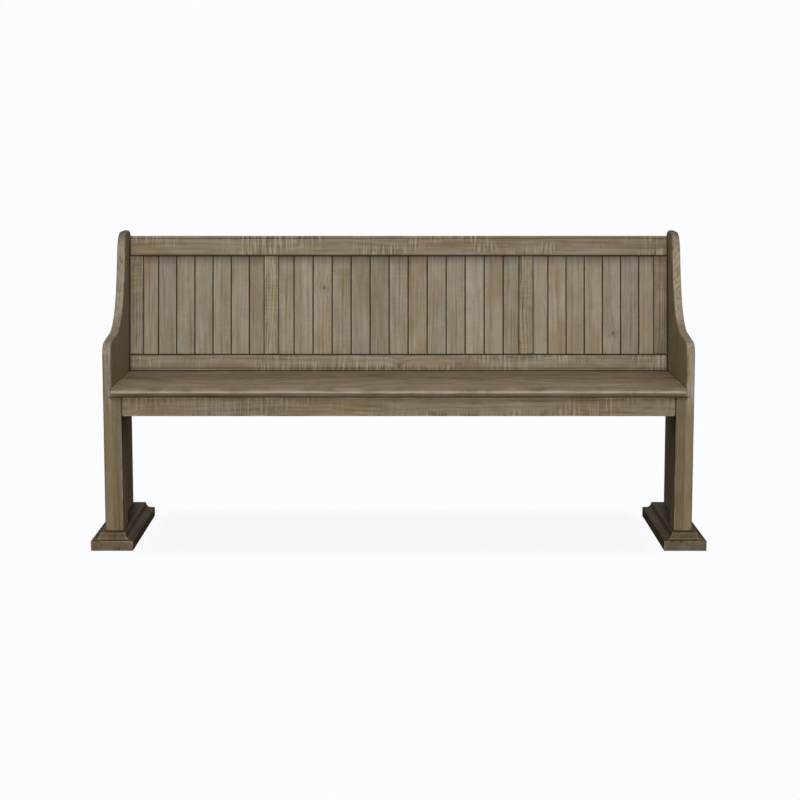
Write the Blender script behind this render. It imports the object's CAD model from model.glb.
"""Long wooden bench: its worn boards, finishes, stage and camera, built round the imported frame."""

import math
import random

import bmesh
import bpy
from bpy.props import FloatProperty, FloatVectorProperty, IntProperty, PointerProperty
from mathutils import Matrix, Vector
from mathutils.bvhtree import BVHTree


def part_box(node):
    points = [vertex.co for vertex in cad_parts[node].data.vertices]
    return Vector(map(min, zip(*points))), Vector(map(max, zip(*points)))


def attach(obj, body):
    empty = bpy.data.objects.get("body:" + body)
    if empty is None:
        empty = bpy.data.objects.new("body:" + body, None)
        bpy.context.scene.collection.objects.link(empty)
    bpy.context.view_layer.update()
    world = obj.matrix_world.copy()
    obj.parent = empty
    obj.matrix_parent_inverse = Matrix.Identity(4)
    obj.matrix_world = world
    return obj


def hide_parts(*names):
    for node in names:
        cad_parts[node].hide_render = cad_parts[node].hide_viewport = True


bl_info = {
    "name": "Long plank-back bench",
    "version": (1, 0, 0),
    "blender": (4, 5, 0),
    "location": "3D View > Sidebar > Bench",
    "description": "Dresses the bench in worn boards, a weathered finish and a studio stage",
    "category": "Object",
}

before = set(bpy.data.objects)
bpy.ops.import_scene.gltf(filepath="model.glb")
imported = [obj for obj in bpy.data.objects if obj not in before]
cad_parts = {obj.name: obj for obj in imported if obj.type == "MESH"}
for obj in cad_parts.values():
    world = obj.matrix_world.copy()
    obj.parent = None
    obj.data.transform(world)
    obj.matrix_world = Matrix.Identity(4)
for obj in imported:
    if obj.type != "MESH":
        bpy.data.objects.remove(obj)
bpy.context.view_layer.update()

PIECE_ENDING = "_wood"
SENSOR_MM = 36.0
MM = 0.001

# What counts as one point, as flat, as an edge, as smooth and as the mouth of a hole
WELD = 0.15 * MM
SHORT_EDGE = 4 * WELD
FLAT_ANGLE = math.radians(0.6)
HARD_ANGLE = math.radians(28)
SMOOTH_ANGLE = math.radians(40)
RIM_SPAN = 26 * MM

# Level seams: the digits of a height, how near a seam takes a vertex in, and how far it strays
HEIGHT_DIGITS = 4
SEAM_SNAP = 1.3 * MM
LEVEL_SPAN = 2 * MM

# Eased edges: their steps, how far below the top a panel's widen, and their faces' material
EDGE_STEPS = 3
CROWN_STEPS = 5
CROWN_SPAN = 70 * MM
BEVEL_MARK = 1

# The worn band inside a border: its share of a flat, its least width, and what turns it over
BAND_SHARE = 0.45
NARROWEST_BAND = 1.0 * MM
NICK = 0.1

# Joints: how near a neighbour lies, how wide a shut joint is, and how far glaze spreads
TOUCH = 12 * MM
SHUT = 0.8 * MM
JOINT_REACH = 3 * MM
RECESS_REACH = 6 * MM
V_REACH = 4.6 * MM
GLAZE_SPREAD = 3.5 * MM
LIP_SPREAD = 5.95 * MM
CORNER_SPREAD = 30 * MM
BACK_LINE = 20 * MM

# Places on a board, as distances from its end or its border
TENON_ENDS = (10 * MM, 14 * MM)
JOINT_END = 9 * MM
PANEL_END = 12 * MM
MITRE_END = 31 * MM
QUIRK_INSET = 8 * MM
FASCIA_DROP = 15 * MM
FLAT_DROP = 5 * MM
DIRT_FADE = 4 * MM

# Finish: the shift of a board's and a stave's grain, then distances at which things are full
# and at which they are gone
BOARD_SHIFT = 53.0
STAVE_SHIFT = 7.31
GLUE_HALF = (0.2 * MM, 0.9 * MM)
KNOT_SWIRL = (0.0, 45 * MM)
KNOT_HEART = (2.5 * MM, 7.5 * MM)
KNOT_HALO = (4 * MM, 22 * MM)
RIDGE_HALF = (1.2 * MM, 3.2 * MM)
QUIRK_HALF = (0.6 * MM, 2.2 * MM)
BROWN_FADE = (60 * MM, 20 * MM)

# Glaze on a board under the top rail: where it begins and is full below it, and its strength
RAIL_GLAZE = ((7 * MM, 1 * MM, 0.75), (34 * MM, 2 * MM, 0.48))

# Stage: the floor's size and the part of it that takes shadow, then the lamps
FLOOR_HALF = 60.0
SHADOW_X, SHADOW_Y = (0.66, 0.8), (0.26, 0.4)
CLIPPING = (0.05, 300.0)
LAMP_TARGET = (0.0, 0.0, 0.5)
LAMPS = (
    ("Key", (0.0, -3.1, 4.2), (1.6, 2.0)),
    ("Front", (0.0, -6.4, 1.0), (3.2, 1.0)),
    ("Back", (0.0, 3.4, 4.6), (3.0, 1.6)),
)

SIDES = ("left", "right")
SLATS = [f"slat_{k:02d}" for k in range(1, 28)]
STILES = ["stile_left_end", "stile_left", "stile_right", "stile_right_end"]
STEEL = ["rail_bolts", "apron_bolts", "barrel_nuts", "foot_screws", "cleat_screws", "seat_screws"]
BOXES = {name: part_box(name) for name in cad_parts}
SEAT_UNDER = BOXES["seat_panel"][0].z
SEAT_TOP = BOXES["seat_panel"][1].z


# Shader maths ------------------------------------------------------------------------------


class Value:
    """A node socket on which Python's operators add Math nodes."""

    def __init__(self, shop, socket):
        self.shop = shop
        self.socket = socket

    def math(self, operation, *others, clamp=False):
        settings = {"operation": operation, "use_clamp": clamp}
        slots = {i: v for i, v in enumerate((self, *others))}
        return self.shop.add("ShaderNodeMath", settings, slots)

    def __add__(self, other):
        return self.math("ADD", other)

    def __radd__(self, other):
        return self.math("ADD", other)

    def __sub__(self, other):
        return self.math("SUBTRACT", other)

    def __rsub__(self, other):
        return self.shop.number(other).math("SUBTRACT", self)

    def __mul__(self, other):
        return self.math("MULTIPLY", other)

    def __truediv__(self, other):
        return self.math("DIVIDE", other)

    def __pow__(self, other):
        return self.math("POWER", other)

    def clamped(self):
        return self.math("ADD", 0.0, clamp=True)

    def step(self, low, high):
        """0 below low and 1 above high, with a smooth rise between them."""
        settings = {"interpolation_type": "SMOOTHSTEP"}
        slots = {"Value": self, "From Min": low, "From Max": high}
        return self.shop.add("ShaderNodeMapRange", settings, slots)

    def near(self, middle, full, gone):
        """1 up to a distance from the middle, and 0 from another one on."""
        return 1.0 - (self - middle).math("ABSOLUTE").step(full, gone)


class Shop:
    """The node tree of a material or a world, and the calls that add nodes to it."""

    def __init__(self, owner):
        owner.use_nodes = True
        self.owner = owner
        self.tree = owner.node_tree
        self.tree.nodes.clear()

    def add(self, kind, settings=None, slots=None, out=0):
        """Adds a node: its settings first, then the values or links of its sockets."""
        node = self.tree.nodes.new(kind)
        for key, value in (settings or {}).items():
            setattr(node, key, value)
        for key, value in (slots or {}).items():
            if isinstance(value, Value):
                self.tree.links.new(value.socket, node.inputs[key])
            else:
                node.inputs[key].default_value = value
        return Value(self, node.outputs[out])

    def number(self, value):
        node = self.tree.nodes.new("ShaderNodeValue")
        node.outputs[0].default_value = value
        return Value(self, node.outputs[0])

    def attribute(self, name, out="Fac"):
        return self.add("ShaderNodeAttribute", {"attribute_name": name}, out=out)

    def split(self, vector):
        node = self.add("ShaderNodeSeparateXYZ", slots={0: vector}).socket.node
        return [Value(self, socket) for socket in node.outputs]

    def point(self, x, y, z):
        return self.add("ShaderNodeCombineXYZ", slots={0: x, 1: y, 2: z})

    def noise(self, point, detail=3.0, roughness=0.5, warp=0.0):
        slots = {
            "Vector": point,
            "Scale": 1.0,
            "Detail": detail,
            "Roughness": roughness,
            "Distortion": warp,
        }
        return self.add("ShaderNodeTexNoise", {"noise_dimensions": "3D"}, slots)

    def mix(self, factor, first, second, blend="MIX"):
        """Mixes two colours by a factor."""
        settings = {"data_type": "RGBA", "blend_type": blend, "clamp_factor": True}
        slots = {0: factor, 6: first, 7: second}
        return self.add("ShaderNodeMix", settings, slots, out=2)

    def end(self, shader, kind="ShaderNodeOutputMaterial"):
        """Leads a shader to the output, and returns the material or world."""
        node = self.tree.nodes.new(kind)
        self.tree.links.new(shader.socket, node.inputs["Surface"])
        return self.owner


def material_shop(name):
    return Shop(bpy.data.materials.get(name) or bpy.data.materials.new(name))


def linear(colour):
    """A screen colour, turned by the sRGB curve into the linear one that shaders use."""
    steps = [c / 12.92 if c <= 0.04045 else ((c + 0.055) / 1.055) ** 2.4 for c in colour]
    return (*steps, 1.0)


# Settings ----------------------------------------------------------------------------------


def colour_setting(name, description, rgb):
    """A colour setting whose default is written in steps of 0 to 255."""
    return FloatVectorProperty(
        name=name,
        description=description,
        default=tuple(linear([c / 255 for c in rgb])[:3]),
        subtype="COLOR",
        min=0.0,
        max=1.0,
    )


def length_setting(name, description, millimetres, low=0.0, high=10000.0):
    return FloatProperty(
        name=name,
        description=description,
        default=millimetres * MM,
        min=low * MM,
        max=high * MM,
        subtype="DISTANCE",
        unit="LENGTH",
    )


def share_setting(name, description, share):
    return FloatProperty(
        name=name, description=description, default=share, min=0.0, max=1.0, subtype="FACTOR"
    )


def power_setting(name, description, watts):
    return FloatProperty(name=name, description=description, default=watts, subtype="POWER")


class BenchEdges(bpy.types.PropertyGroup):
    """How far each kind of board is eased along its edges."""

    panel: length_setting("Side panels", "Round on the side panels' edges", 4.5, high=8)
    crown: length_setting("Panel tops", "Round on the tops of the side panels", 9.5, high=11)
    foot: length_setting("Feet", "Round on the feet's arrises", 1.4, high=3)
    post: length_setting("Posts", "Round on the posts' free edges", 2.6, high=5)
    board: length_setting("Boards", "Round on rails, aprons and seat", 1.6, high=3)
    slat: length_setting("Slats", "Round on slats and stiles", 0.7, high=1.2)
    joint: length_setting("Joints", "Round on edges that close a joint", 0.7, high=1.5)
    ring: length_setting("Wear band", "Width of the worn band inside an edge", 5.0, high=10)


class BenchFinish(bpy.types.PropertyGroup):
    """The weathered finish."""

    tan: colour_setting("Tan", "Brown wood under the finish", (146, 126, 96))
    grey: colour_setting("Grey", "Weathered grey bloom", (160, 149, 132))
    brown: colour_setting("Brown", "Brown of the legs", (126, 107, 78))
    shade: colour_setting("Shade", "Tint of the faces that look aside", (190, 180, 146))
    umber: colour_setting("Umber", "Dark streaks of the grain", (103, 85, 57))
    bloom: colour_setting("Bloom", "Pale wash on saw marks and worn edges", (182, 172, 156))
    glaze: colour_setting("Glaze", "Dark glaze left in joints and grooves", (42, 34, 22))
    knot: colour_setting("Knots", "Heart of a knot", (74, 56, 38))
    steel: colour_setting("Steel", "Zinc on bolts and screws", (168, 168, 166))
    ring_gap: length_setting("Ring gap", "Distance from one growth ring to the next", 6.5, 1, 30)
    saw_gap: length_setting("Saw marks", "Distance from one saw mark to the next", 7.5, 1, 40)
    knot_gap: length_setting("Knot spacing", "Side of the square that holds one knot", 290, 80)
    roughness: share_setting("Roughness", "Roughness of the wiped finish", 0.56)
    seed: IntProperty(name="Seed", description="Picks the boards", default=7, min=0)


class BenchStage(bpy.types.PropertyGroup):
    """Camera, lamps and backdrop."""

    lens: FloatProperty(
        name="Lens",
        description="Focal length on a 36 mm sensor",
        default=94.5,
        subtype="DISTANCE_CAMERA",
    )
    distance: length_setting("Distance", "From the camera to the middle of the bench", 6147.3)
    height: length_setting("Eye height", "Height of the camera above the floor", 1195.9)
    tilt: FloatProperty(
        name="Tilt",
        description="How far the camera looks down",
        default=math.radians(8.0),
        subtype="ANGLE",
    )
    shift_x: FloatProperty(name="Shift X", description="Lens shift to the side", default=0.0017)
    shift_y: FloatProperty(name="Shift Y", description="Lens shift upwards", default=0.0266)
    backdrop: colour_setting("Backdrop", "Colour of the studio sweep", (251, 252, 254))
    key: power_setting("Key lamp", "Power of the soft lamp above", 75.0)
    front: power_setting("Front lamp", "Power of the soft lamp in front", 200.0)
    back: power_setting("Back lamp", "Power of the soft lamp behind", 60.0)
    fill: FloatProperty(
        name="Fill", description="Strength of the light from all round", default=0.42
    )
    shadow: share_setting("Floor shadow", "Share of the floor that takes light and shadow", 0.1)


# Boards ------------------------------------------------------------------------------------


class Grain:
    """The directions of a board: along the grain, across it, and out of its face."""

    def __init__(self, along, across):
        self.along = Vector(along).normalized()
        self.across = Vector(across).normalized()
        self.out = self.along.cross(self.across)

    def place(self, point):
        return Vector((point.dot(self.along), point.dot(self.across), point.dot(self.out)))


X, Y, Z = Vector((1, 0, 0)), Vector((0, 1, 0)), Vector((0, 0, 1))
RECLINE = math.radians(8.3)
UP_SLOPE = Vector((0, math.sin(RECLINE), math.cos(RECLINE)))
SLOPED = Grain(UP_SLOPE, X)
UPRIGHT = Grain(Z, Y)
UPRIGHT_NARROW = Grain(Z, X)
CROSSWAYS_SLOPED = Grain(X, UP_SLOPE)
CROSSWAYS_FLAT = Grain(X, Y)
CROSSWAYS_EDGE = Grain(X, Z)
FORE_AND_AFT = Grain(Y, X)


def neighbours_of(node, apart=()):
    """A search tree of the solids beside a node, without those whose names begin as apart."""
    points, faces = [], []
    low, high = BOXES[node]
    for name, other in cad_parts.items():
        if name == node or name in STEEL or name.startswith(("post_dowels", *apart)):
            continue
        start_at, end_at = BOXES[name]
        if any(start_at[i] > high[i] + TOUCH or end_at[i] < low[i] - TOUCH for i in range(3)):
            continue
        start = len(points)
        points.extend(v.co for v in other.data.vertices)
        faces.extend([start + i for i in p.vertices] for p in other.data.polygons)
    return BVHTree.FromPolygons(points, faces)


def joined(items, beside):
    """Groups of items that hang together, where beside gives those next to an item."""
    left = dict.fromkeys(items)
    while left:
        group, todo = [], [left.popitem()[0]]
        while todo:
            item = todo.pop()
            group.append(item)
            for near in beside(item):
                if near in left:
                    del left[near]
                    todo.append(near)
        yield group


def edges_beside(edge):
    return (near for vertex in edge.verts for near in vertex.link_edges)


def mouths(edges):
    """Small closed loops of edges, with the middle height of each."""
    for loop in joined(edges, edges_beside):
        points = [v.co for e in loop for v in e.verts]
        low = Vector(min(p[i] for p in points) for i in range(3))
        high = Vector(max(p[i] for p in points) for i in range(3))
        if max(high - low) < RIM_SPAN:
            yield loop, (low.z + high.z) / 2


def rims(edges):
    """The edges round the mouths of holes."""
    return {edge for loop, _ in mouths(edges) for edge in loop}


def hard_edges(mesh):
    return [
        e for e in mesh.edges if len(e.link_faces) == 2 and e.calc_face_angle(0.0) > HARD_ANGLE
    ]


def level_seams(mesh, levels):
    """Leaves no seam in an upright board's flats but level ones, at holes and levels."""
    heights = {round(z, HEIGHT_DIGITS) for _, z in mouths(hard_edges(mesh))}
    holes = [z for z in sorted(heights) if min(levels) < z < max(levels)]
    for level in holes:
        cut_at(mesh, Z, level)
    for level in levels:
        cut_at(mesh, Z, level, SEAM_SNAP)
    kept = holes + list(levels)
    seams = [
        e
        for e in mesh.edges
        if len(e.link_faces) == 2
        and e.calc_face_angle(0.0) < FLAT_ANGLE
        and not any(runs_along(e, level) for level in kept)
    ]
    bmesh.ops.dissolve_limit(mesh, angle_limit=FLAT_ANGLE, verts=[], edges=seams)


def cleaned(node):
    """The node's solid as a welded mesh with one face for each flat."""
    mesh = bmesh.new()
    mesh.from_mesh(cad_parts[node].data)
    bmesh.ops.remove_doubles(mesh, verts=mesh.verts, dist=WELD)
    bmesh.ops.dissolve_degenerate(mesh, dist=WELD, edges=mesh.edges)
    bmesh.ops.dissolve_limit(
        mesh,
        angle_limit=FLAT_ANGLE,
        verts=mesh.verts,
        edges=mesh.edges,
        use_dissolve_boundaries=False,
    )
    return mesh


def cut_at(mesh, direction, distance, snap=WELD):
    """Splits the mesh along a plane, so that wear or a joint can end there."""
    geometry = mesh.verts[:] + mesh.edges[:] + mesh.faces[:]
    bmesh.ops.bisect_plane(
        mesh, geom=geometry, plane_co=direction * distance, plane_no=direction, dist=snap
    )


def reach_of(node, direction, height=math.inf):
    """How far a CAD node goes in a direction, of its vertices below a height."""
    points = (v.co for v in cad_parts[node].data.vertices)
    return max(p.dot(direction) for p in points if p.z < height)


def under_rail(node):
    """How far above a slat's or a stile's middle the top rail begins."""
    return (reach_of(node, UP_SLOPE) + reach_of(node, -UP_SLOPE)) / 2 - TENON_ENDS[0]


def cut_all(mesh, along, ends, planes):
    """Splits a board at distances from its end grain, and at planes."""
    reaches = [v.co.dot(along) for v in mesh.verts]
    low, high = min(reaches), max(reaches)
    for inset in ends:
        cut_at(mesh, along, low + inset)
        cut_at(mesh, along, high - inset)
    for direction, distance in planes:
        cut_at(mesh, direction, distance)


def eased(node, mesh, radius, others, joint, flush, crown):
    """Rounds the free edges by radius and those that close a joint by less, or not at all."""
    layer = mesh.edges.layers.float.new("bevel_weight_edge")
    hard = hard_edges(mesh)
    small = rims(hard)
    for edge in hard:
        if edge in small or edge.calc_length() < WELD:
            continue
        middle = (edge.verts[0].co + edge.verts[1].co) / 2
        hit = others.find_nearest(middle, joint)
        closed = hit[0] is not None
        wanted = radius if not closed else 0.0 if flush else joint
        edge[layer] = wanted / radius
    data = bpy.data.meshes.new(node)
    mesh.to_mesh(data)
    mesh.free()
    holder = bpy.data.objects.new(node + "_rough", data)
    bpy.context.scene.collection.objects.link(holder)
    for _ in range(BEVEL_MARK + 1):
        holder.data.materials.append(None)
    bevel = holder.modifiers.new("Ease", "BEVEL")
    bevel.limit_method = "WEIGHT"
    bevel.width = radius
    bevel.segments = CROWN_STEPS if crown else EDGE_STEPS
    bevel.material = BEVEL_MARK
    bevel.use_clamp_overlap = crown is None
    depsgraph = bpy.context.evaluated_depsgraph_get()
    result = bpy.data.meshes.new_from_object(holder.evaluated_get(depsgraph))
    bpy.data.objects.remove(holder)
    bpy.data.meshes.remove(data)
    return result


def crowned(mesh, radius, crown):
    """Widens the rounding of an upright board from radius to crown at its top."""
    across = [v.co.x for v in mesh.verts]
    middle, half = (max(across) + min(across)) / 2, (max(across) - min(across)) / 2
    top = max(v.co.z for v in mesh.verts)
    for vertex in {v for f in mesh.faces if f.material_index == BEVEL_MARK for v in f.verts}:
        rise = 1.0 - (top - vertex.co.z) / CROWN_SPAN
        if rise > 0.0:
            side = vertex.co.x - middle
            inward = radius - arc_rise(radius, radius - half + abs(side))
            wide = radius + (crown - radius) * rise
            sunk = wide - arc_rise(wide, wide - inward)
            vertex.co.x = middle + math.copysign(half - sunk, side)


def arc_rise(radius, run):
    """How high a circle stands at a run from its centre."""
    return math.sqrt(max(0.0, radius * radius - run * run))


def runs_along(edge, level):
    """Whether an edge lies at a height, where one is given."""
    return level is not None and all(abs(v.co.z - level) < LEVEL_SPAN for v in edge.verts)


def flats_of(mesh, level):
    """Groups of faces that meet without an eased edge or the level between them."""

    def beside(face):
        for edge in face.edges:
            if edge.calc_face_angle(0.0) <= HARD_ANGLE and not runs_along(edge, level):
                yield from edge.link_faces

    return list(joined((f for f in mesh.faces if f.material_index != BEVEL_MARK), beside))


def depth_behind(edge, face):
    """How far a face reaches from one of its edges."""
    start, end = (v.co for v in edge.verts)
    run = (end - start).normalized()
    offs = (v.co - start for v in face.verts)
    return max((off - run * off.dot(run)).length for off in offs)


def hole_gap(border):
    """The narrowest strip of a flat between the rims of its holes and its outer border."""
    small = rims([e for e, _ in border])
    points = {v for e in small for v in e.verts}
    outer = {e for e, _ in border} - small
    gap = math.inf if outer else 0.0
    for edge in outer:
        start, end = (v.co for v in edge.verts)
        run = end - start
        square = max(run.length_squared, WELD**2)
        for point in points:
            off = point.co - start
            part = min(1.0, max(0.0, off.dot(run) / square))
            gap = min(gap, (off - run * part).length)
    return gap


def turned_over(ring, outer):
    """The inner edges of a ring's faces that point against their outer ones, as at nicks."""
    found = []
    for face in ring:
        for loop in face.loops:
            if loop.edge in outer and len(face.loops) == 4:
                far = loop.link_loop_next.link_loop_next
                run = loop.link_loop_next.vert.co - loop.vert.co
                if run.dot(far.vert.co - far.link_loop_next.vert.co) < NICK * run.length_squared:
                    found.append(far.edge)
    return list(dict.fromkeys(found))


def ringed(mesh, width, level=None):
    """Adds a narrow band inside the border of every flat, where wear and glaze fade out.

    A flat is taken as two where the level crosses it.
    """
    inner = [
        e
        for e in mesh.edges
        if len(e.link_faces) == 2
        and e.calc_face_angle(0.0) < FLAT_ANGLE
        and all(f.material_index != BEVEL_MARK for f in e.link_faces)
        and not runs_along(e, level)
    ]
    bmesh.ops.dissolve_limit(mesh, angle_limit=FLAT_ANGLE, verts=[], edges=inner)
    for group in flats_of(mesh, level):
        inside = set(group)
        border = [
            (e, f) for f in group for e in f.edges if sum(g in inside for g in e.link_faces) == 1
        ]
        depths = [depth_behind(e, f) for e, f in border if e.calc_length() > SHORT_EDGE]
        if not depths:
            continue
        band = min(width, BAND_SHARE * min(depths), BAND_SHARE * hole_gap(border))
        if band < NARROWEST_BAND:
            continue
        outer = {e for e, _ in border}
        ring = bmesh.ops.inset_region(mesh, faces=group, thickness=band, use_even_offset=False)
        bmesh.ops.collapse(mesh, edges=turned_over(ring["faces"], outer), uvs=False)


def wear_and_glaze(mesh, others, reach):
    """For each vertex, how worn it is and how much glaze lies there for a joint nearby."""
    mesh.verts.index_update()
    rounded = {v.index for f in mesh.faces if f.material_index == BEVEL_MARK for v in f.verts}
    marks = []
    for vertex in mesh.verts:
        gap = others.find_nearest(vertex.co, reach)[3]
        glaze = 0.0 if gap is None else 1.0 - max(0.0, gap - SHUT) / (reach - SHUT)
        marks.append((1.0 - glaze if vertex.index in rounded else 0.0, glaze))
    return marks


def worked_board(
    node,
    grain,
    radius,
    material,
    ends=(JOINT_END,),
    levels=(),
    planes=(),
    reach=JOINT_REACH,
    flush=False,
    crown=None,
    apart=(),
):
    """Builds the worn piece that stands for a CAD board, and its maps for the finish.

    ends are the distances from the end grain, and levels the heights, at which an edge may
    begin to close a joint. planes are the directions and distances at which glaze on a face
    may end. reach is how far from another board the glaze of their joint fades out, and a
    flush board keeps its arrises sharp there. crown is the radius at the top of its edges,
    and there is no glaze towards the boards whose names begin as apart.
    """
    edges = bpy.context.scene.bench_edges
    name = node + PIECE_ENDING
    old = bpy.data.objects.get(name)
    if old:
        bpy.data.objects.remove(old)
    mesh = cleaned(node)
    heights = [(Z, level) for level in levels]
    if crown:
        level_seams(mesh, levels)
    else:
        cut_all(mesh, grain.along, ends, heights)
    data = eased(node, mesh, radius, neighbours_of(node), edges.joint, flush, crown)
    work = bmesh.new()
    work.from_mesh(data)
    ringed(work, edges.ring, SEAT_UNDER if crown else None)
    if crown:
        crowned(work, radius, crown)
    cut_all(work, grain.along, ends, heights + list(planes))
    marks = wear_and_glaze(work, neighbours_of(node, apart), reach)
    for face in work.faces:
        face.material_index = 0
        face.smooth = True
    work.to_mesh(data)
    work.free()
    data.name = name
    data.set_sharp_from_angle(angle=SMOOTH_ANGLE)
    data.materials.clear()
    data.materials.append(material)
    map_board(data, node, grain, marks)
    piece = bpy.data.objects.new(name, data)
    bpy.context.scene.collection.objects.link(piece)
    weighted = piece.modifiers.new("Flat shading", "WEIGHTED_NORMAL")
    weighted.keep_sharp = True
    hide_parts(node)
    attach(piece, "root")
    return piece


def map_board(data, node, grain, marks):
    """Writes where each vertex lies in its board, how worn it is and what board it is."""
    places = [grain.place(v.co) for v in data.vertices]
    low = Vector(min(p[i] for p in places) for i in range(3))
    high = Vector(max(p[i] for p in places) for i in range(3))
    middle = (low + high) / 2
    draw = random.Random(f"{bpy.context.scene.bench_finish.seed}-{node}")
    pick = [draw.random() for _ in range(3)]
    write_map(data, "board", [place - middle for place in places])
    write_map(data, "pick", [pick] * len(places))
    write_map(data, "worn", [worn for worn, _ in marks])
    write_map(data, "glazed", [glazed for _, glazed in marks])


def write_map(data, name, values):
    """Adds one value or vector for each vertex, for the finish to read."""
    if isinstance(values[0], float):
        layer = data.attributes.new(name, "FLOAT", "POINT")
        layer.data.foreach_set("value", values)
    else:
        layer = data.attributes.new(name, "FLOAT_VECTOR", "POINT")
        layer.data.foreach_set("vector", [c for value in values for c in value])


# Finishes ----------------------------------------------------------------------------------


class BoardMaps:
    """What a finish reads of a board: where a point lies in it, and which board it is."""

    def __init__(self, shop, finish):
        self.shop = shop
        self.finish = finish
        board = shop.attribute("board", "Vector")
        pick = shop.attribute("pick", "Vector")
        self.worn = shop.attribute("worn")
        self.glazed = shop.attribute("glazed")
        self.along, self.across, self.out = shop.split(board)
        self.place, self.shade, self.hue = shop.split(pick)
        self.shift = self.place * BOARD_SHIFT

    def noise(self, along_by, across_by, *look, ahead=0.0, aside=0.0):
        """A noise with one frequency along the grain and another one across it."""
        along = self.along * along_by + self.shift + ahead
        across = self.across * across_by + aside
        return self.shop.noise(self.shop.point(along, across, self.out * across_by), *look)

    def glued(self, stave):
        """Gives each stave a grain and a tone of its own, and returns 1 on the glue lines."""
        shop = self.shop
        sway = shop.noise(shop.point(self.along * 1.5, self.shift, 0.0), 1.0) * (4 * MM)
        row = (self.across + sway + 5.0) / stave
        number = row.math("FLOOR")
        one_value = {"noise_dimensions": "1D"}
        lot = shop.add("ShaderNodeTexWhiteNoise", one_value, {"W": number + self.shift})
        self.shift = self.shift + number * STAVE_SHIFT
        self.shade = self.shade * 0.3 + lot * 0.7
        full, gone = (0.5 - half / stave for half in GLUE_HALF)
        return (row.math("FRACT") - 0.5).math("ABSOLUTE").step(gone, full)

    def knots(self, strength):
        """How the grain swirls round knots, and their hearts and halos."""
        shop, spacing = self.shop, self.finish.knot_gap
        along = self.along / spacing + self.shift
        across = self.across / spacing + self.shift * 1.7
        slots = {"Vector": shop.point(along, across, 0.0), "Scale": 1.0, "Randomness": 1.0}
        flat = {"voronoi_dimensions": "2D"}
        cell = shop.add("ShaderNodeTexVoronoi", flat, slots, out="Distance")
        lot = Value(shop, cell.socket.node.outputs["Color"])
        chosen = shop.add("ShaderNodeSeparateColor", slots={0: lot}).step(0.42, 0.5)
        gap = cell * spacing
        swirl = (1.0 - gap.step(*KNOT_SWIRL)) * chosen
        heart = (1.0 - gap.step(*KNOT_HEART)) * chosen * strength
        halo = (1.0 - gap.step(*KNOT_HALO)) * chosen * strength
        return swirl, heart, halo

    def rings(self, swirl):
        """Growth rings of the log that the board was sawn from."""
        drift = self.noise(2.6, 9.0, 2.0) - 0.5
        ripple = self.noise(14.0, 60.0, 2.0) - 0.5
        side = self.across + (self.place - 0.5) * (90 * MM) + drift * (50 * MM)
        side = side + swirl * (14 * MM)
        depth = self.out + 35 * MM + self.shade * (50 * MM)
        radius = (side * side + depth * depth).math("SQRT") + ripple * (3.5 * MM)
        waves = (radius * (2 * math.pi / self.finish.ring_gap)).math("SINE")
        return (waves * 0.5 + 0.5) ** 2.2

    def saw_marks(self, strength):
        """Pale marks and dark ruts, which stand across the grain in patches."""
        shop = self.shop
        sway = shop.point(self.along * 20.0, self.across * 26.0 + self.shift, 0.0)
        wobble = shop.noise(sway, 2.0) * 0.99
        along = self.along / self.finish.saw_gap + wobble + self.shift
        beat = shop.noise(shop.point(along, self.across * 7.0, self.out * 7.0), 2.5, 0.7)
        sawn = self.noise(4.3, 12.0, 2.0, ahead=9.0).step(0.4, 0.6) * strength
        return beat.step(0.49, 0.62) * sawn, beat.step(0.5, 0.36) * sawn


def coated(shop, colour, *coats):
    """The colour under coats, of each of which the share and the setting are given."""
    for share, setting in coats:
        colour = shop.mix(share, colour, linear_of(setting))
    return colour


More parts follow.
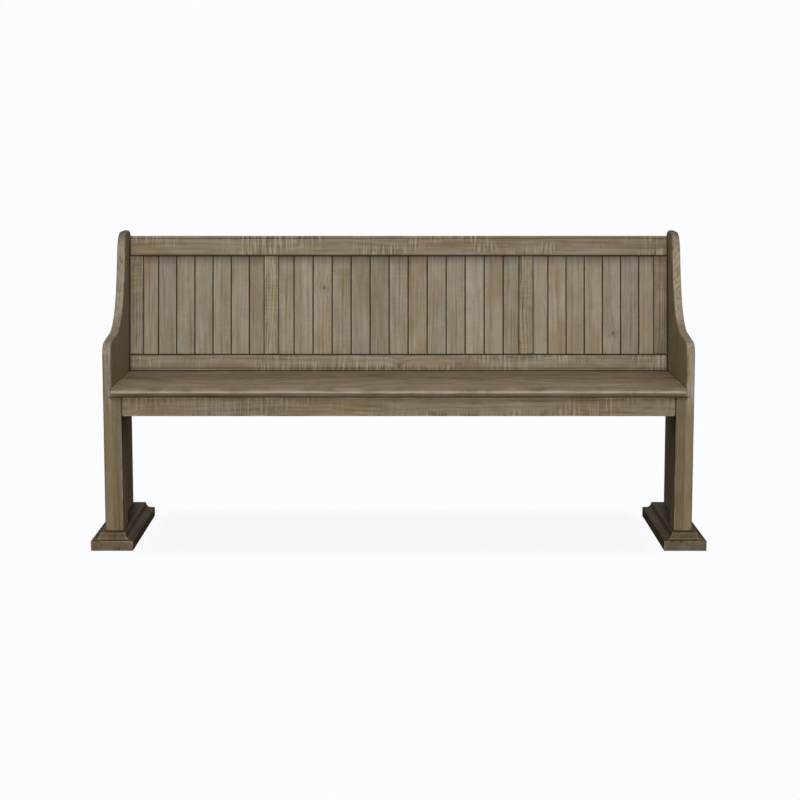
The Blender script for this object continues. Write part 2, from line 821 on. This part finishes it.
def weathered_wood(
    name,
    tone=1.0,
    warmth=0.5,
    saw=0.5,
    stave=0.0,
    glue_line=0.7,
    knots=0.5,
    contrast=1.0,
    joint=1.0,
    top_end=None,
    shaded=0.0,
    dirt=(),
    ridge=None,
    quirk=None,
    wear=0.45,
    brown_below=None,
):
    """Driftwood finish: rings, fibres, knots, saw marks, worn edges and glazed joints.

    tone darkens or lightens it, warmth leans it from grey to tan, saw and knots are
    strengths, and stave is the width of the glued boards, or 0 for a single board. glue_line
    is the strength of the glaze between them and joint that of the glaze in joints, and
    contrast how much darker than the rest the grain is. top_end is the height at which the
    board goes under a rail, and brown_below that up to which it is browner, both from its
    middle. shaded is how much darker and browner the faces are that don't look forward or
    back. dirt lists how far out of the board's middle dirt begins, where it is full and how
    strong it is. ridge is how far out a worn line lies, and quirk the height of a fine dark
    line along the board, from its middle. wear is the strength of the pale arrises.
    """
    finish = bpy.context.scene.bench_finish
    shop = material_shop(name)
    maps = BoardMaps(shop, finish)
    glue = maps.glued(stave) if stave else None
    swirl, heart, halo = maps.knots(knots)
    rings = maps.rings(swirl)
    fibre = maps.noise(16.0, 900.0, 4.0, 0.6)
    streak = maps.noise(3.2, 130.0, 3.0, 0.55, 0.4)
    patch = maps.noise(5.5, 17.0, 3.0, 0.55, 0.6)
    cloud = maps.noise(13.0, 30.0, 4.0, 0.6, 0.5, aside=4.0)
    marks, ruts = maps.saw_marks(saw)
    grey = (patch.step(0.34, 0.66) * 0.6 + (1.0 - maps.hue) * 0.4 + (0.5 - warmth)).clamped()
    dark = (streak.step(0.5, 0.78) * 0.5 + rings * 0.22 + fibre.step(0.45, 0.8) * 0.3) * contrast

    colour = coated(
        shop,
        linear_of(finish.tan),
        (grey, finish.grey),
        (dark, finish.umber),
        (marks * 0.45, finish.bloom),
        (ruts * 0.35, finish.umber),
        (halo * 0.55, finish.umber),
        (heart * 0.9, finish.knot),
    )
    level = (0.86 + maps.shade * 0.2 + (cloud - 0.5) * (0.5 * contrast)) * tone
    lightness = shop.add("ShaderNodeCombineColor", slots={0: level, 1: level, 2: level})
    colour = shop.mix(1.0, colour, lightness, "MULTIPLY")
    broken = cloud.step(0.36, 0.62)
    if ridge:
        line = maps.out.near(ridge, *RIDGE_HALF)
        colour = coated(shop, colour, (line * (0.35 + broken * 0.3), finish.bloom))
    colour = coated(shop, colour, (maps.worn * maps.worn * broken * wear, finish.bloom))
    if brown_below is not None:
        full, gone = brown_below - BROWN_FADE[0], brown_below + BROWN_FADE[1]
        colour = coated(shop, colour, ((1.0 - maps.along.step(full, gone)) * 0.75, finish.brown))
    if shaded:
        forward = shop.split(shop.add("ShaderNodeNewGeometry", out="Normal"))[1]
        aside = forward.near(0.0, 0.25, 0.7) * shaded
        colour = shop.mix(aside, colour, linear_of(finish.shade), "MULTIPLY")

    soak = maps.glazed.step(0.15, 0.9) * joint
    if glue:
        soak = soak + glue * glue_line
    if top_end:
        for begins, full, strength in RAIL_GLAZE:
            under = maps.along.step(top_end - begins, top_end - full) * strength
            soak = soak.math("MAXIMUM", under)
    for clean_at, full_at, strength in dirt:
        soak = soak + maps.out.step(clean_at, full_at) * strength
    if quirk:
        soak = soak + maps.across.near(quirk, *QUIRK_HALF) * (0.2 + streak * 0.9)
    soak = soak.clamped()
    colour = coated(shop, colour, (soak * 0.92, finish.glaze))

    rough = finish.roughness + (fibre - 0.5) * 0.16 + marks * 0.12 + soak * 0.2
    height = fibre * 0.25 - rings * 0.2 + streak * 0.3 + marks * 0.5 + heart * 0.6 - soak * 0.4
    relief = {"Strength": 0.35, "Distance": 0.6 * MM, "Height": height}
    slots = {
        "Base Color": colour,
        "Roughness": (rough - maps.worn * 0.08).clamped(),
        "Specular IOR Level": 0.1,
        "Normal": shop.add("ShaderNodeBump", slots=relief),
    }
    return shop.end(shop.add("ShaderNodeBsdfPrincipled", slots=slots))


def linear_of(setting):
    return (*setting, 1.0)


def brushed_zinc(name):
    """Zinc-plated steel of the bolts, nuts and screws."""
    finish = bpy.context.scene.bench_finish
    shop = material_shop(name)
    where = shop.add("ShaderNodeTexCoord", out="Object")
    x, y, z = shop.split(where)
    haze = shop.noise(shop.point(x * 300.0, y * 300.0, z * 300.0), 3.0)
    turned = shop.noise(shop.point(x * 4000.0, y * 900.0, z * 900.0), 2.0)
    dull = linear([0.42, 0.42, 0.40])
    relief = {"Strength": 0.2, "Distance": 0.2 * MM, "Height": turned}
    slots = {
        "Base Color": shop.mix(haze.step(0.35, 0.75) * 0.5, linear_of(finish.steel), dull),
        "Metallic": 1.0,
        "Roughness": 0.3 + haze * 0.25,
        "Normal": shop.add("ShaderNodeBump", slots=relief),
    }
    return shop.end(shop.add("ShaderNodeBsdfPrincipled", slots=slots))


# Pieces ------------------------------------------------------------------------------------


class BENCH_OT_feet(bpy.types.Operator):
    """Sled feet with a cove on all four sides"""

    bl_idname = "bench.feet"
    bl_label = "Feet"

    def execute(self, context):
        low, high = BOXES["foot_left"]
        top = (low.z - high.z) / 2
        fascia, flat = top + FASCIA_DROP, top + FLAT_DROP
        wood = weathered_wood(
            "Foot wood",
            tone=0.56,
            warmth=0.75,
            saw=0.2,
            knots=0.3,
            contrast=1.8,
            dirt=[(fascia, fascia - DIRT_FADE, 0.42), (flat, flat - DIRT_FADE, -0.42)],
            wear=0.3,
            shaded=1.0,
        )
        radius = context.scene.bench_edges.foot
        for side in SIDES:
            low, high = BOXES["foot_" + side]
            planes = [(X, low.x + MITRE_END), (X, high.x - MITRE_END)]
            planes += [(Y, low.y + MITRE_END), (Y, high.y - MITRE_END)]
            worked_board(
                "foot_" + side, FORE_AND_AFT, radius, wood, planes=planes
            )
        return {"FINISHED"}


class BENCH_OT_side_panels(bpy.types.Operator):
    """S-curved side panels, glued up from upright boards"""

    bl_idname = "bench.side_panels"
    bl_label = "Side panels"

    def execute(self, context):
        low, high = BOXES["side_panel_left"]
        edges = context.scene.bench_edges
        back = -reach_of("stile_left", -SLOPED.out)
        planes = [(SLOPED.out, back), (SLOPED.out, back - CORNER_SPREAD)]
        planes.append((Z, SEAT_TOP + GLAZE_SPREAD))
        for side, tone, shaded in zip(SIDES, (0.9, 1.05), (0.5, 0.65)):
            wood = weathered_wood(
                f"Side wood {side}",
                tone=tone,
                warmth=0.45,
                saw=0.25,
                contrast=1.6,
                top_end=(high.z - low.z) / 2,
                brown_below=SEAT_UNDER - (low.z + high.z) / 2,
                stave=0.0917,
                glue_line=0.1,
                wear=0.12,
                shaded=shaded,
            )
            worked_board(
                "side_panel_" + side,
                UPRIGHT,
                edges.panel,
                wood,
                ends=(),
                levels=(low.z + PANEL_END, SEAT_UNDER, SEAT_TOP),
                planes=planes,
                flush=True,
                crown=edges.crown,
                apart=("front_post", "foot"),
            )
        return {"FINISHED"}


class BENCH_OT_posts(bpy.types.Operator):
    """Front posts and the apron between them"""

    bl_idname = "bench.posts"
    bl_label = "Front posts and apron"

    def execute(self, context):
        edges = context.scene.bench_edges
        wood = weathered_wood("Leg wood", tone=0.68, warmth=1.15, saw=0.0, joint=0.8, contrast=1.5)
        for side in SIDES:
            worked_board(
                "front_post_" + side,
                UPRIGHT_NARROW,
                edges.post,
                wood,
                flush=True,
                apart=("side_panel", "foot"),
            )
        wood = weathered_wood("Apron wood", tone=0.95, warmth=0.7, saw=0.95, contrast=1.3)
        worked_board(
            "front_apron", CROSSWAYS_EDGE, edges.board, wood, apart=("seat_",)
        )
        return {"FINISHED"}


class BENCH_OT_bearers(bpy.types.Operator):
    """Rear apron, centre rib and cleats under the seat"""

    bl_idname = "bench.bearers"
    bl_label = "Bearers"

    def execute(self, context):
        wood = weathered_wood("Inner wood", tone=0.8, warmth=0.6, saw=1.0)
        radius = context.scene.bench_edges.board
        worked_board("rear_apron", CROSSWAYS_EDGE, radius, wood)
        for node in ("seat_rib", "cleat_left", "cleat_right"):
            worked_board(node, FORE_AND_AFT, radius, wood)
        return {"FINISHED"}


class BENCH_OT_seat(bpy.types.Operator):
    """Seat board and its moulded nosing"""

    bl_idname = "bench.seat"
    bl_label = "Seat"

    def execute(self, context):
        wood = weathered_wood(
            "Seat wood", tone=1.01, warmth=0.95, saw=0.15, contrast=2.5, stave=0.098, glue_line=0.3
        )
        edges = context.scene.bench_edges
        line = -reach_of("bottom_rail", -Y, SEAT_TOP + GLAZE_SPREAD)
        planes = [(Y, line), (Y, line - BACK_LINE)]
        worked_board(
            "seat_panel",
            CROSSWAYS_FLAT,
            edges.joint,
            wood,
            planes=planes,
            apart=("side_panel", "seat_nosing"),
        )
        wood = weathered_wood(
            "Nosing wood",
            tone=0.82,
            warmth=0.95,
            saw=0.15,
            contrast=1.7,
            joint=0.1,
            dirt=[(0.5 * MM, -2 * MM, 0.27)],
            ridge=3 * MM,
        )
        worked_board("seat_nosing", CROSSWAYS_FLAT, edges.joint, wood)
        return {"FINISHED"}


class BENCH_OT_rails(bpy.types.Operator):
    """Top and bottom rail of the back"""

    bl_idname = "bench.rails"
    bl_label = "Rails"

    def execute(self, context):
        radius = context.scene.bench_edges.board
        for node, title, tone, warmth, end in (
            ("top_rail", "Top rail wood", 0.8, 0.75, 1),
            ("bottom_rail", "Bottom rail wood", 0.97, 0.42, -1),
        ):
            half = (reach_of(node, UP_SLOPE) + reach_of(node, -UP_SLOPE)) / 2
            quirk = end * (half - QUIRK_INSET)
            wood = weathered_wood(
                title, tone=tone, warmth=warmth, saw=1.8, contrast=1.3, quirk=quirk
            )
            worked_board(node, CROSSWAYS_SLOPED, radius, wood, reach=RECESS_REACH)
        return {"FINISHED"}


class BENCH_OT_stiles(bpy.types.Operator):
    """The four uprights of the back"""

    bl_idname = "bench.stiles"
    bl_label = "Stiles"

    def execute(self, context):
        radius = context.scene.bench_edges.slat
        top_end = under_rail(STILES[0])
        for title, tone, nodes in (
            ("Inner stile wood", 1.29, STILES[1:3]),
            ("End stile wood", 1.12, STILES[::3]),
        ):
            wood = weathered_wood(
                title, tone=tone, warmth=0.42, saw=0.35, contrast=2.1, top_end=top_end
            )
            for node in nodes:
                worked_board(
                    node, SLOPED, radius, wood, TENON_ENDS, reach=RECESS_REACH
                )
        return {"FINISHED"}


class BENCH_OT_slats(bpy.types.Operator):
    """Tongue-and-groove slats with V-shaped seams"""

    bl_idname = "bench.slats"
    bl_label = "Slats"

    def execute(self, context):
        wood = weathered_wood(
            "Slat wood",
            tone=0.91,
            warmth=0.3,
            saw=0.2,
            contrast=0.95,
            top_end=under_rail(SLATS[0]),
            wear=0.3,
        )
        radius = context.scene.bench_edges.slat
        lips = [s * reach_of(node, s * X) for node in STILES for s in (-1, 1)]
        lines = [lip + s * LIP_SPREAD for lip in lips for s in (-1, 0, 1)]
        for node in SLATS:
            low, high = BOXES[node]
            near = [(X, line) for line in lines if low.x < line < high.x]
            worked_board(
                node, SLOPED, radius, wood, TENON_ENDS, planes=near, reach=V_REACH
            )
        return {"FINISHED"}


class BENCH_OT_fixings(bpy.types.Operator):
    """Bolts, nuts, screws and dowels, which keep their own solids"""

    bl_idname = "bench.fixings"
    bl_label = "Fixings"

    def execute(self, context):
        materials = dict.fromkeys(STEEL, brushed_zinc("Zinc steel"))
        materials["post_dowels"] = weathered_wood("Dowel wood", warmth=0.8)
        for node, material in materials.items():
            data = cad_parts[node].data
            data.materials.clear()
            data.materials.append(material)
        return {"FINISHED"}


# Stage -------------------------------------------------------------------------------------


def seen_directly(shop):
    """1 for rays from the camera, to which the backdrop is plain."""
    return shop.add("ShaderNodeLightPath", out="Is Camera Ray")


def add_floor(stage):
    """A pale floor that shows the backdrop's colour and a faint shadow."""
    shop = material_shop("Studio floor")
    where = shop.add("ShaderNodeTexCoord", out="Object")
    x, y, _ = shop.split(where)
    near = x.near(0.0, *SHADOW_X) * y.near(0.0, *SHADOW_Y)
    colour = linear_of(stage.backdrop)
    plain = shop.add("ShaderNodeEmission", slots={"Color": colour, "Strength": 1.0})
    matt = shop.add("ShaderNodeBsdfDiffuse", slots={"Color": colour})
    direct = shop.add("ShaderNodeMixShader", slots={0: near * stage.shadow, 1: plain, 2: matt})
    dull = shop.add("ShaderNodeBsdfDiffuse", slots={"Color": linear([0.3, 0.28, 0.25])})
    shader = shop.add("ShaderNodeMixShader", slots={0: seen_directly(shop), 1: dull, 2: direct})
    mesh = bmesh.new()
    bmesh.ops.create_grid(mesh, x_segments=2, y_segments=2, size=FLOOR_HALF)
    data = bpy.data.meshes.new("studio_floor")
    mesh.to_mesh(data)
    mesh.free()
    data.materials.append(shop.end(shader))
    floor = bpy.data.objects.new("studio_floor", data)
    bpy.context.scene.collection.objects.link(floor)


def add_world(stage):
    """The backdrop to the camera, and a low fill otherwise."""
    world = bpy.data.worlds.new("Studio")
    bpy.context.scene.world = world
    shop = Shop(world)
    strength = seen_directly(shop) * (1.0 - stage.fill) + stage.fill
    slots = {"Color": linear_of(stage.backdrop), "Strength": strength}
    shop.end(shop.add("ShaderNodeBackground", slots=slots), "ShaderNodeOutputWorld")


def add_lamp(name, place, size, power):
    """A soft rectangular lamp that looks at the bench."""
    lamp = bpy.data.lights.new(name, "AREA")
    lamp.shape = "RECTANGLE"
    lamp.size, lamp.size_y = size
    lamp.energy = power
    holder = bpy.data.objects.new(name, lamp)
    holder.location = place
    look = Vector(LAMP_TARGET) - Vector(place)
    holder.rotation_euler = look.to_track_quat("-Z", "Y").to_euler()
    bpy.context.scene.collection.objects.link(holder)


def add_camera(stage):
    lens = bpy.data.cameras.new("Camera")
    lens.sensor_width = SENSOR_MM
    lens.lens = stage.lens
    lens.shift_x = stage.shift_x
    lens.shift_y = stage.shift_y
    lens.clip_start, lens.clip_end = CLIPPING
    camera = bpy.data.objects.new("Camera", lens)
    camera.location = (0.0, -stage.distance, stage.height)
    camera.rotation_euler = (math.pi / 2 - stage.tilt, 0.0, 0.0)
    bpy.context.scene.collection.objects.link(camera)
    bpy.context.scene.camera = camera


class BENCH_OT_stage(bpy.types.Operator):
    """Floor, light and camera"""

    bl_idname = "bench.stage"
    bl_label = "Stage"

    def execute(self, context):
        stage = context.scene.bench_stage
        context.scene.view_settings.view_transform = "Standard"
        add_camera(stage)
        add_floor(stage)
        add_world(stage)
        for name, place, size in LAMPS:
            add_lamp(name, place, size, getattr(stage, name.lower()))
        return {"FINISHED"}


# Add-on ------------------------------------------------------------------------------------


OPERATORS = (
    BENCH_OT_stage,
    BENCH_OT_feet,
    BENCH_OT_side_panels,
    BENCH_OT_posts,
    BENCH_OT_bearers,
    BENCH_OT_seat,
    BENCH_OT_rails,
    BENCH_OT_stiles,
    BENCH_OT_slats,
    BENCH_OT_fixings,
)
SETTINGS = {"bench_edges": BenchEdges, "bench_finish": BenchFinish, "bench_stage": BenchStage}


class BENCH_PT_panel(bpy.types.Panel):
    """The bench's settings and steps"""

    bl_label = "Bench"
    bl_idname = "BENCH_PT_panel"
    bl_space_type = "VIEW_3D"
    bl_region_type = "UI"
    bl_category = "Bench"

    def draw(self, context):
        for name, group in SETTINGS.items():
            box = self.layout.box()
            for setting in group.__annotations__:
                box.prop(getattr(context.scene, name), setting)
        for operator in OPERATORS:
            self.layout.operator(operator.bl_idname)


CLASSES = (*SETTINGS.values(), *OPERATORS, BENCH_PT_panel)


def register():
    for kind in CLASSES:
        bpy.utils.register_class(kind)
    for name, group in SETTINGS.items():
        setattr(bpy.types.Scene, name, PointerProperty(type=group))


def unregister():
    for name in SETTINGS:
        delattr(bpy.types.Scene, name)
    for kind in reversed(CLASSES):
        bpy.utils.unregister_class(kind)


def main():
    register()
    for operator in OPERATORS:
        family, step = operator.bl_idname.split(".")
        getattr(getattr(bpy.ops, family), step)()


if __name__ == "__main__":
    main()
